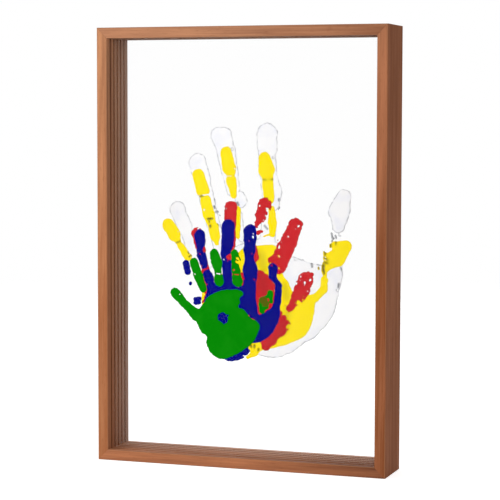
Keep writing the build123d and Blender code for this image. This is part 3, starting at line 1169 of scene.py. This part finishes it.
def red_hand() -> Handprint:
    """The third hand, with the most ragged edges.

    Returns:
        The print.
    """
    paint = PosterPaint("poster paint, signal red", "c91e25", "ce282a", "8f1014", "6d0d12", rim_share=0.7)
    palm = Palm((
        (-30.0, -40.0), (-27.0, -29.0), (-15.0, -21.0), (0.0, -17.4), (9.6, -16.2), (17.0, -19.4),
        (21.4, -25.0), (25.0, -33.0), (26.0, -42.0), (27.4, -48.0), (30.4, -49.2), (33.0, -54.0),
        (31.0, -57.4), (30.2, -62.6), (25.4, -66.8), (22.0, -71.0), (16.0, -75.6), (12.6, -74.6),
        (11.2, -70.6), (5.0, -67.4), (-8.0, -69.0), (-20.0, -66.0), (-28.0, -58.0), (-31.0, -50.0),
    ))
    strokes = (
        # Little finger
        PAINT((-39.6, 10.4, 8.4), (-36.0, -3.0, 6.8), (-33.0, -15.4, 6.4)),
        PAINT((-32.4, -18.6, 6.2), (-30.4, -32.0, 7.4)), PAINT((-31.2, -34.0, 2.4), (-32.4, -38.0, 2.2)),
        PAINT((-32.8, -38.6, 2.0), (-34.4, -41.0, 2.4)),
        BARE((-30.7, -30.6, 1.4), (-30.5, -32.8, 1.2)),
        # Ring finger
        PAINT((-12.3, 30.2, 9.8), (-12.8, 20.0, 9.2)), PAINT((-12.8, 17.0, 8.8), (-13.4, -4.0, 8.2)),
        PAINT((-13.6, -7.0, 7.6), (-11.0, -20.0, 9.6)),
        # Middle finger, torn along its right side
        PAINT((14.0, 33.4, 9.0), (10.6, 24.0, 8.4)), PAINT((10.6, 23.0, 7.0), (7.4, 16.6, 3.4)),
        PAINT((17.6, 33.6, 3.8), (17.9, 29.4, 2.6)),
        BARE((15.4, 29.8, 1.2), (18.4, 26.2, 3.4)), BARE((14.8, 24.6, 0.9), (16.6, 23.4, 1.6)),
        PAINT((8.8, 11.6, 2.6), (11.6, 13.0, 1.9)), PAINT((3.4, 1.6, 7.6), (5.0, -7.0, 8.8)),
        # Index finger
        PAINT((37.6, 17.8, 10.8), (33.3, 6.6, 12.2)), PAINT((39.4, 18.6, 8.0), (38.4, 14.6, 7.0)),
        PAINT((33.3, 6.6, 12.2), (28.4, -2.6, 13.2), (25.0, -12.4, 12.4)),
        PAINT((19.8, -8.6, 6.2), (23.0, -12.6, 8.2)), PAINT((24.3, 6.2, 1.0), (24.0, 1.0, 1.5)),
        BARE((25.4, 3.6, 0.6), (25.2, 1.2, 0.9)), BARE((38.0, 15.0, 0.8), (37.9, 14.8, 0.7)),
        BARE((32.2, 9.4, 0.9), (32.3, 9.1, 0.7)), BARE((25.2, -5.4, 0.8), (25.3, -5.6, 0.7)),
        BARE((24.9, -14.0, 1.0), (25.4, -14.6, 1.2)),
        # Thumb
        PAINT((46.2, -21.8, 11.8), (43.2, -28.6, 12.4)), PAINT((50.2, -18.4, 3.6), (44.2, -18.8, 4.6)),
        PAINT((43.2, -28.6, 12.4), (39.8, -35.4, 9.4), (33.8, -43.6, 4.6)),
        PAINT((44.6, -34.0, 3.2), (42.2, -35.6, 2.8)), PAINT((39.4, -39.4, 1.8), (38.8, -40.0, 1.6)),
        PAINT((32.2, -42.4, 2.2), (29.8, -41.6, 1.2)), PAINT((33.4, -44.4, 2.6), (31.2, -44.0, 1.4)),
        BARE((43.8, -36.8, 1.2), (42.8, -36.2, 1.0)), BARE((41.2, -38.8, 1.4), (40.3, -38.3, 1.0)),
        BARE((45.1, -24.2, 1.4), (45.0, -24.6, 1.2)), BARE((45.0, -26.4, 1.1), (45.2, -26.6, 0.9)),
        BARE((38.6, -24.9, 1.2), (39.0, -24.6, 0.8)), BARE((48.6, -22.6, 0.7), (49.6, -22.0, 0.9)),
        BARE((47.4, -30.2, 0.8), (48.0, -29.6, 1.0)),
        # Broken edge of the ball of the thumb
        PAINT((26.6, -46.8, 1.0), (27.8, -47.3, 1.2)), PAINT((32.2, -54.0, 1.6), (33.8, -54.8, 0.8)),
        PAINT((30.6, -58.8, 1.8), (32.0, -59.4, 0.8)),
        BARE((33.0, -50.6, 0.9), (31.8, -51.4, 1.0)), BARE((31.8, -61.6, 1.2), (30.4, -61.2, 1.0)),
        BARE((24.6, -70.6, 1.2), (23.6, -69.6, 1.0)), BARE((21.4, -73.4, 1.0), (20.8, -72.4, 0.9)),
        BARE((29.0, -65.0, 1.2), (27.6, -66.4, 1.8)), BARE((18.4, -75.4, 1.8), (17.0, -74.6, 1.2)),
        BARE((13.6, -77.6, 1.8), (13.2, -75.6, 1.2)), BARE((34.0, -57.6, 1.6), (32.6, -57.2, 1.2)),
        # Painted shadows of the prints in front, in the hollow of the palm and along the ball of the thumb
        PAINTED_SHADOW((11.0, -21.0, 13.0), (15.0, -33.0, 12.0)), PAINTED_SHADOW((29.0, -53.0, 8.0), (26.0, -64.0, 8.0)),
        PAINTED_SHADOW((24.0, -66.0, 8.0), (15.0, -73.0, 6.0)),
    )
    return Handprint(
        "handprint_3_red", "red_paint", paint, palm, strokes,
        wander=0.45, crumbs=0.55, specks=26, seed=37,
    )


def yellow_hand() -> Handprint:
    """The fourth hand, a grown-up's.

    Returns:
        The print.
    """
    paint = PosterPaint(
        "poster paint, bright yellow", "ffe600", "ffe30c", "dcbf08", "5e5212", rim_share=0.35,
    )
    palm = Palm((
        (-37.6, -36.0), (-31.0, -25.0), (-22.0, -20.0), (-14.0, -10.0), (-8.0, -3.0), (-2.0, 0.4),
        (6.0, 1.4), (14.0, 2.4), (20.4, 1.6), (24.2, -8.0), (25.8, -18.0), (30.6, -25.4), (33.4, -31.4),
        (40.0, -34.4), (46.0, -34.0), (52.0, -34.4), (51.0, -42.0), (50.2, -49.0), (47.9, -57.6),
        (42.2, -65.0), (33.0, -70.0), (23.7, -73.2), (14.0, -75.6), (5.0, -77.6), (-10.0, -78.6),
        (-24.0, -73.0), (-33.0, -62.0), (-37.6, -48.0),
    ))
    strokes = (
        # Little finger
        PAINT((-64.8, 15.2, 10.4), (-59.8, 8.0, 9.8), (-57.6, 4.4, 6.0)),
        PAINT((-55.6, 0.4, 5.0), (-49.4, -8.4, 6.2)),
        CRUST((-58.8, 1.6, 0.8), (-56.2, 2.7, 0.9)), CRUST((-48.6, -8.6, 1.2), (-46.8, -7.4, 0.9)),
        CRUST((-49.6, -5.2, 0.8), (-49.0, -6.2, 0.9)),
        # Ring finger
        PAINT((-40.6, 53.2, 9.6), (-37.0, 42.0, 10.8)),
        PAINT((-35.0, 34.2, 8.8), (-32.4, 24.0, 9.2), (-30.4, 17.6, 7.2)),
        PAINT((-28.6, 14.4, 8.4), (-27.0, 7.4, 7.8), (-26.0, 2.8, 3.8)),
        BARE((-42.0, 37.8, 0.7), (-29.6, 39.2, 0.9)),
        CRUST((-40.0, 37.0, 1.3), (-37.4, 37.4, 0.9)), CRUST((-33.6, 20.2, 1.4), (-30.2, 20.4, 1.2)),
        CRUST((-32.7, 20.0, 1.4), (-32.5, 17.6, 1.0)), CRUST((-31.8, 15.0, 1.7), (-31.6, 14.2, 1.4)),
        CRUST((-25.2, 16.8, 1.2), (-24.8, 15.8, 1.0)),
        # Middle finger
        PAINT((-18.7, 70.6, 8.8), (-16.1, 58.6, 10.6), (-15.4, 55.8, 8.0)),
        PAINT((-14.5, 49.6, 8.4), (-12.5, 38.8, 5.0)), PAINT((-9.8, 28.0, 5.6), (-9.2, 8.0, 3.6)),
        BARE((-21.0, 52.6, 0.3), (-10.0, 53.4, 0.5)),
        # Index finger
        PAINT((11.5, 66.8, 9.4), (13.4, 57.6, 12.6), (14.0, 53.8, 9.6)),
        PAINT((14.2, 47.0, 9.0), (15.3, 36.6, 8.2)),
        PAINT((17.2, 29.0, 5.2), (18.0, 19.0, 6.6), (17.8, 10.4, 5.0)),
        PAINT((10.6, 8.4, 0.9), (14.6, 9.8, 1.5)),
        CRUST((10.2, 50.2, 0.9), (12.4, 50.0, 0.7)), CRUST((15.8, 50.2, 0.7), (17.8, 50.6, 1.0)),
        # Thumb
        PAINT((75.0, 3.0, 8.0), (67.4, -5.6, 14.0)), PAINT((66.4, 3.0, 7.0), (74.6, 3.8, 6.4)),
        PAINT((65.8, -7.6, 10.4), (59.6, -15.0, 3.4)), PAINT((59.6, -4.2, 4.2), (60.0, -11.0, 4.8)),
        PAINT((59.2, -15.4, 3.4), (58.7, -20.6, 2.2)), PAINT((58.3, -22.8, 6.0), (57.6, -29.4, 6.0)),
        PAINT((57.2, -29.6, 5.8), (51.6, -35.8, 6.0)),
        BARE((56.8, -5.2, 1.2), (59.4, -6.0, 0.5)), BARE((56.8, -8.6, 1.2), (59.4, -9.2, 0.5)),
        # Crinkled left edge of the thumb
        CRUST((57.9, -1.9, 1.8), (58.2, -4.2, 1.3)), CRUST((57.5, -6.4, 1.4), (60.4, -8.4, 1.0)),
        CRUST((57.6, -9.9, 1.4), (60.2, -10.7, 1.0)), CRUST((56.9, -12.2, 2.0), (56.8, -16.2, 1.9)),
        CRUST((57.2, -16.4, 1.5), (57.5, -18.4, 1.1)), CRUST((53.6, -13.2, 1.7), (53.7, -14.4, 1.5)),
        CRUST((62.4, 3.6, 1.2), (62.5, 1.6, 1.0)), CRUST((66.4, 5.6, 1.2), (66.3, 3.4, 0.9)),
        # Painted shadows of the prints in front, along the hollow of the palm
        PAINTED_SHADOW((8.0, -6.0, 12.0), (10.5, -16.0, 12.0)), PAINTED_SHADOW((27.5, -28.0, 9.0), (28.5, -37.0, 10.0)),
        PAINTED_SHADOW((29.0, -46.5, 10.0), (28.5, -58.0, 9.0)), PAINTED_SHADOW((28.0, -60.0, 9.0), (17.0, -70.0, 7.0)),
        # Splash below the heel
        PAINT((5.4, -72.0, 5.4), (4.6, -79.0, 4.4)), PAINT((4.2, -79.0, 4.4), (-1.4, -82.2, 2.4)),
        PAINT((8.4, -74.0, 3.2), (7.4, -77.6, 1.5)),
        CRUST((3.5, -73.8, 1.6), (3.4, -75.2, 1.2)), CRUST((6.8, -76.4, 1.5), (6.4, -77.4, 1.1)),
        CRUST((0.6, -74.0, 1.6), (1.2, -75.0, 1.1)),
    )
    return Handprint(
        "handprint_4_yellow", "yellow_paint", paint, palm, strokes,
        wander=0.35, crumbs=0.22, specks=4, seed=41, step=0.6,
    )


def white_hand() -> Handprint:
    """The largest hand, at the back, whose rim shows most.

    Returns:
        The print.
    """
    paint = PosterPaint(
        "poster paint, chalk white", "fbfbfc", "eef0f9", "b9bbbf", "6f7276", rim_width=1.2, rim_share=0.85,
    )
    palm = Palm((
        (-40.0, -36.0), (-37.0, -22.0), (-26.0, -8.0), (-10.0, 2.0), (4.0, 6.0), (16.0, 6.0), (26.0, -1.0),
        (31.0, -5.6), (39.0, -8.1), (46.0, -10.6), (53.0, -11.8), (61.0, -12.6), (68.6, -13.6),
        (70.2, -20.0), (68.8, -28.0), (66.2, -39.0), (63.0, -49.5), (56.5, -58.2), (49.0, -66.2),
        (41.0, -71.0), (33.2, -76.8), (25.4, -81.0), (17.6, -82.8), (8.9, -82.6), (0.0, -79.6),
        (-10.0, -77.0), (-25.0, -70.0), (-35.0, -59.0), (-40.0, -46.0),
    ))
    strokes = (
        # Little finger
        PAINT((-60.0, 27.0, 12.8), (-54.0, 13.5, 12.2)), PAINT((-54.0, 13.5, 11.0), (-48.6, -2.0, 9.0)),
        PAINT((-48.0, -4.6, 9.0), (-40.0, -24.0, 10.0)),
        # Ring finger
        PAINT((-43.6, 62.4, 14.2), (-39.8, 48.5, 13.2)), PAINT((-39.8, 48.5, 12.8), (-36.0, 34.0, 12.0)),
        PAINT((-36.0, 34.0, 11.6), (-31.5, 18.0, 11.0)), PAINT((-31.5, 18.0, 10.6), (-26.0, -2.0, 10.0)),
        CRUST((-30.5, 35.0, 1.3), (-30.0, 33.2, 1.1)), CRUST((-31.0, 29.4, 1.4), (-30.6, 27.8, 1.1)),
        CRUST((-29.6, 25.2, 1.5), (-27.4, 25.9, 1.1)), CRUST((-26.4, 23.6, 1.1), (-25.4, 22.8, 0.9)),
        # Middle finger
        PAINT((-27.0, 83.0, 12.6), (-21.4, 72.0, 15.0)), PAINT((-22.6, 83.4, 12.0), (-21.4, 74.0, 14.0)),
        PAINT((-21.4, 72.0, 15.0), (-18.0, 56.0, 13.4)), PAINT((-18.0, 56.0, 13.0), (-15.4, 43.0, 11.4)),
        PAINT((-10.0, 37.4, 9.4), (-8.9, 34.2, 9.8)), PAINT((-10.6, 24.0, 5.0), (-8.4, 6.0, 6.4)),
        CRUST((-12.6, 32.2, 1.8), (-11.6, 30.8, 1.4)), CRUST((-11.0, 15.2, 1.4), (-11.2, 12.8, 1.2)),
        CRUST((-12.4, 9.6, 1.3), (-12.0, 8.2, 1.1)),
        # Index finger
        PAINT((11.4, 84.4, 16.2), (11.6, 74.4, 16.4)), PAINT((11.2, 69.6, 14.0), (12.0, 56.0, 14.2)),
        PAINT((13.4, 50.0, 14.0), (14.9, 41.0, 15.8), (15.0, 32.4, 12.0)),
        PAINT((13.0, 24.0, 11.0), (12.0, 6.0, 13.0)),
        CRUST((20.2, 35.6, 1.3), (20.2, 34.4, 1.1)), CRUST((20.8, 29.6, 1.3), (20.4, 28.2, 1.1)),
        CRUST((9.0, 15.6, 1.2), (11.2, 13.2, 1.1)),
        # Thumb, nearly parted from the palm
        PAINT((70.6, 38.6, 11.6), (67.4, 28.0, 16.6), (67.2, 17.0, 10.2)),
        CRUST((61.2, 12.2, 1.4), (61.9, 9.8, 1.3)), CRUST((62.2, 8.6, 1.7), (62.6, 7.2, 1.4)),
        CRUST((64.4, 9.8, 1.4), (64.9, 8.2, 1.1)), CRUST((61.8, 5.6, 1.3), (63.0, 4.6, 1.6)),
        PAINT((66.6, 10.4, 1.0), (68.4, 9.8, 0.8)), PAINT((66.0, -2.0, 7.0), (64.6, -12.0, 11.0)),
        # Crumbs on the palm's upper and right edges
        CRUST((39.6, -8.6, 1.1), (40.4, -9.4, 0.9)), CRUST((46.0, -11.8, 1.6), (46.2, -14.0, 1.3)),
        CRUST((50.6, -12.0, 1.2), (52.4, -12.2, 1.0)), CRUST((66.8, -26.2, 1.5), (66.5, -28.6, 1.2)),
        CRUST((68.2, -14.2, 1.2), (69.0, -15.4, 1.0)),
        BARE((60.4, 13.0, 1.6), (62.6, 12.6, 1.2)),
    )
    return Handprint(
        "handprint_5_white", "white_paint", paint, palm, strokes,
        wander=0.45, crumbs=0.34, specks=8, seed=59, step=0.6, margin=7.0,
    )


def main() -> None:
    """Builds the studio, then finishes the woodwork, the panes and the hands."""
    logging.basicConfig(level=logging.INFO, format="%(name)s: %(message)s")
    Studio().build()
    wood_frame().dress()
    panes = PaneSet(CastAcrylic(), (green_hand(), blue_hand(), red_hand(), yellow_hand(), white_hand()))
    panes.dress()
    panes.build()


if __name__ == "__main__":
    main()
